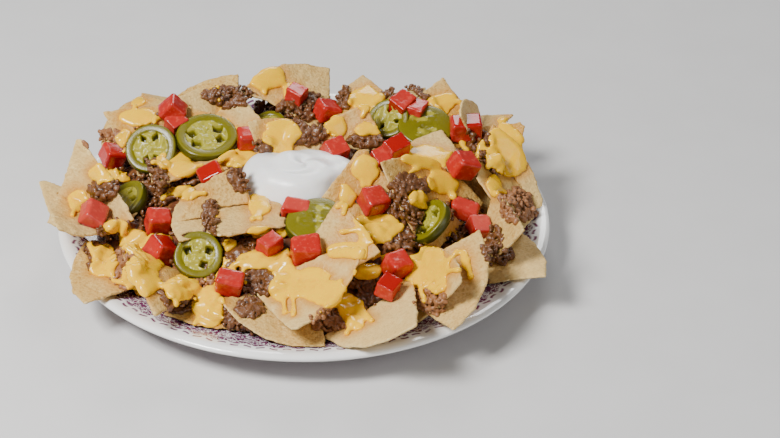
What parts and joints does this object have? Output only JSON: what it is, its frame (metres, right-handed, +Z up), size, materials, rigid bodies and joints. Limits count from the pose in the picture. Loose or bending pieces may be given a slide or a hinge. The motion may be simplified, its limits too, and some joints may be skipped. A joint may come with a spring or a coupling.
{
  "type": "plate of nachos",
  "caption": "Loaded nachos on a round plate: corn chips with ground beef, beans, cheese sauce, diced tomato, pickled pepper slices and sour cream",
  "frame": {"origin": "Centre of the plate's underside at the level of its foot, on the surface that it stands on", "axes": "+Z up, +X to the right of a diner who looks along +Y"},
  "size_m": [0.2804, 0.2748, 0.0701],
  "materials": {
    "plate": "white glazed china with a worn-looking purple scroll band on the rim",
    "filling": null,
    "sour_cream": null,
    "chip": null,
    "tomato": null,
    "pepper": null
  },
  "bodies": {
    "root": {"chip_back_corner": "chip", "chip_back_far": "chip", "chip_back_hump": "chip", "chip_back_left_far": "chip", "chip_back_left_wide": "chip", "chip_back_peak": "chip", "chip_back_right": "chip", "chip_centre_right": "chip", "chip_cream_right": "chip", "chip_diamond": "chip", "chip_dome": "chip", "chip_front_fold": "chip", "chip_front_left_flat": "chip", "chip_front_point": "chip", "chip_front_right_flat": "chip", "chip_front_right_inner": "chip", "chip_front_right_tall": "chip", "chip_inner_cheesed": "chip", "chip_inner_left": "chip", "chip_inner_mid": "chip", "chip_inner_round": "chip", "chip_left_blade": "chip", "chip_left_peak": "chip", "chip_left_rim": "chip", "chip_left_tip": "chip", "chip_right_arc": "chip", "chip_right_drip": "chip", "chip_right_outer": "chip", "chip_right_rim": "chip", "chip_right_tip": "chip", "heap": "filling", "plate": "plate", "slice_back": "pepper", "slice_back_left": "pepper", "slice_back_right": "pepper", "slice_back_tucked": "pepper", "slice_back_wide": "pepper", "slice_front": "pepper", "slice_front_left": "pepper", "slice_left": "pepper", "slice_right": "pepper", "sour_cream": "sour_cream", "tomato_back": "tomato", "tomato_back_left_peak": "tomato", "tomato_back_right": "tomato", "tomato_back_wide": "tomato", "tomato_front": "tomato", "tomato_front_left": "tomato", "tomato_front_right": "tomato", "tomato_front_right_low": "tomato", "tomato_inner": "tomato", "tomato_left": "tomato", "tomato_left_back": "tomato", "tomato_left_front": "tomato", "tomato_left_inner": "tomato", "tomato_middle": "tomato", "tomato_on_cream": "tomato", "tomato_right": "tomato", "tomato_right_back": "tomato", "tomato_right_pale": "tomato"}
  },
  "joints": []
}
